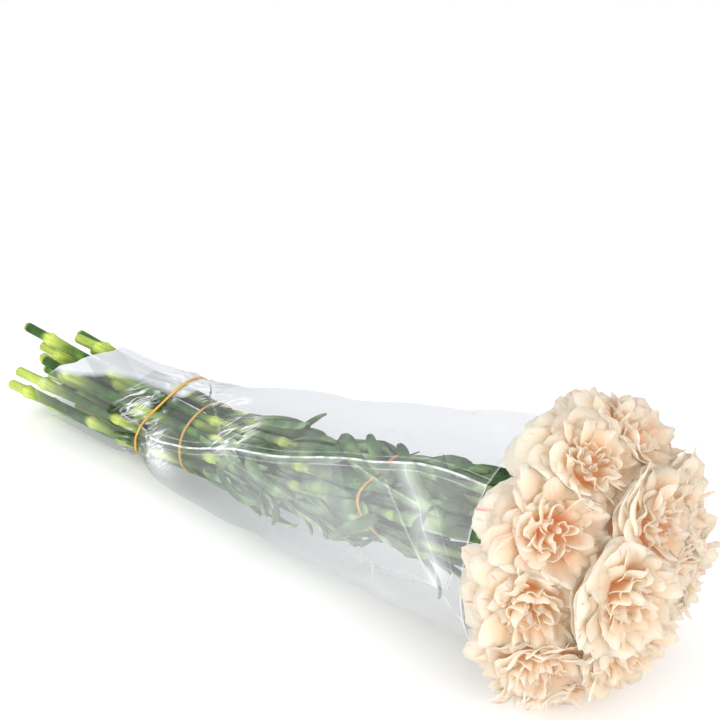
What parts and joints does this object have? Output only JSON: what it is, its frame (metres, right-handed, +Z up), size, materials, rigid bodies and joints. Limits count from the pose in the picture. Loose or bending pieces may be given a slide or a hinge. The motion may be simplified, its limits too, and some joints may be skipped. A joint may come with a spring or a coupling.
{
  "type": "bunch of carnations",
  "caption": "Florist's bunch of double cream and peach carnations lying on its side in a clear film sleeve held by rubber bands.",
  "frame": {"origin": "on the surface that the bunch lies on, under the middle of its box", "axes": "+X along the stems from their cut ends to the blooms, +Z up, +Y to the left when looking along +X"},
  "size_m": [0.6164, 0.1864, 0.1834],
  "materials": {
    "petals": "soft matte fresh petals, cream to peach with pink flecks",
    "stems_and_leaves": "waxy grey-green living stems and leaves",
    "clear_film": "clear glossy polypropylene film, crinkled",
    "rubber_band": "satin tan natural rubber"
  },
  "bodies": {
    "root": {"leafy_stem_01": "stems_and_leaves", "leafy_stem_02": "stems_and_leaves", "leafy_stem_03": "stems_and_leaves", "leafy_stem_04": "stems_and_leaves", "leafy_stem_05": "stems_and_leaves", "leafy_stem_06": "stems_and_leaves", "leafy_stem_07": "stems_and_leaves", "leafy_stem_08": "stems_and_leaves", "leafy_stem_09": "stems_and_leaves", "leafy_stem_10": "stems_and_leaves", "leafy_stem_11": "stems_and_leaves", "leafy_stem_12": "stems_and_leaves", "leafy_stem_13": "stems_and_leaves", "leafy_stem_14": "stems_and_leaves", "leafy_stem_15": "stems_and_leaves", "leafy_stem_16": "stems_and_leaves", "leafy_stem_17": "stems_and_leaves", "leafy_stem_18": "stems_and_leaves", "bloom_01": "petals", "bloom_02": "petals", "bloom_03": "petals", "bloom_04": "petals", "bloom_05": "petals", "bloom_06": "petals", "bloom_07": "petals", "bloom_08": "petals", "bloom_09": "petals", "bloom_10": "petals", "bloom_11": "petals", "bloom_12": "petals", "bloom_13": "petals", "bloom_14": "petals", "bloom_15": "petals", "bloom_16": "petals", "bloom_17": "petals", "bloom_18": "petals", "clear_sleeve": "clear_film", "rubber_band_1": "rubber_band", "rubber_band_2": "rubber_band", "rubber_band_3": "rubber_band"}
  },
  "joints": []
}
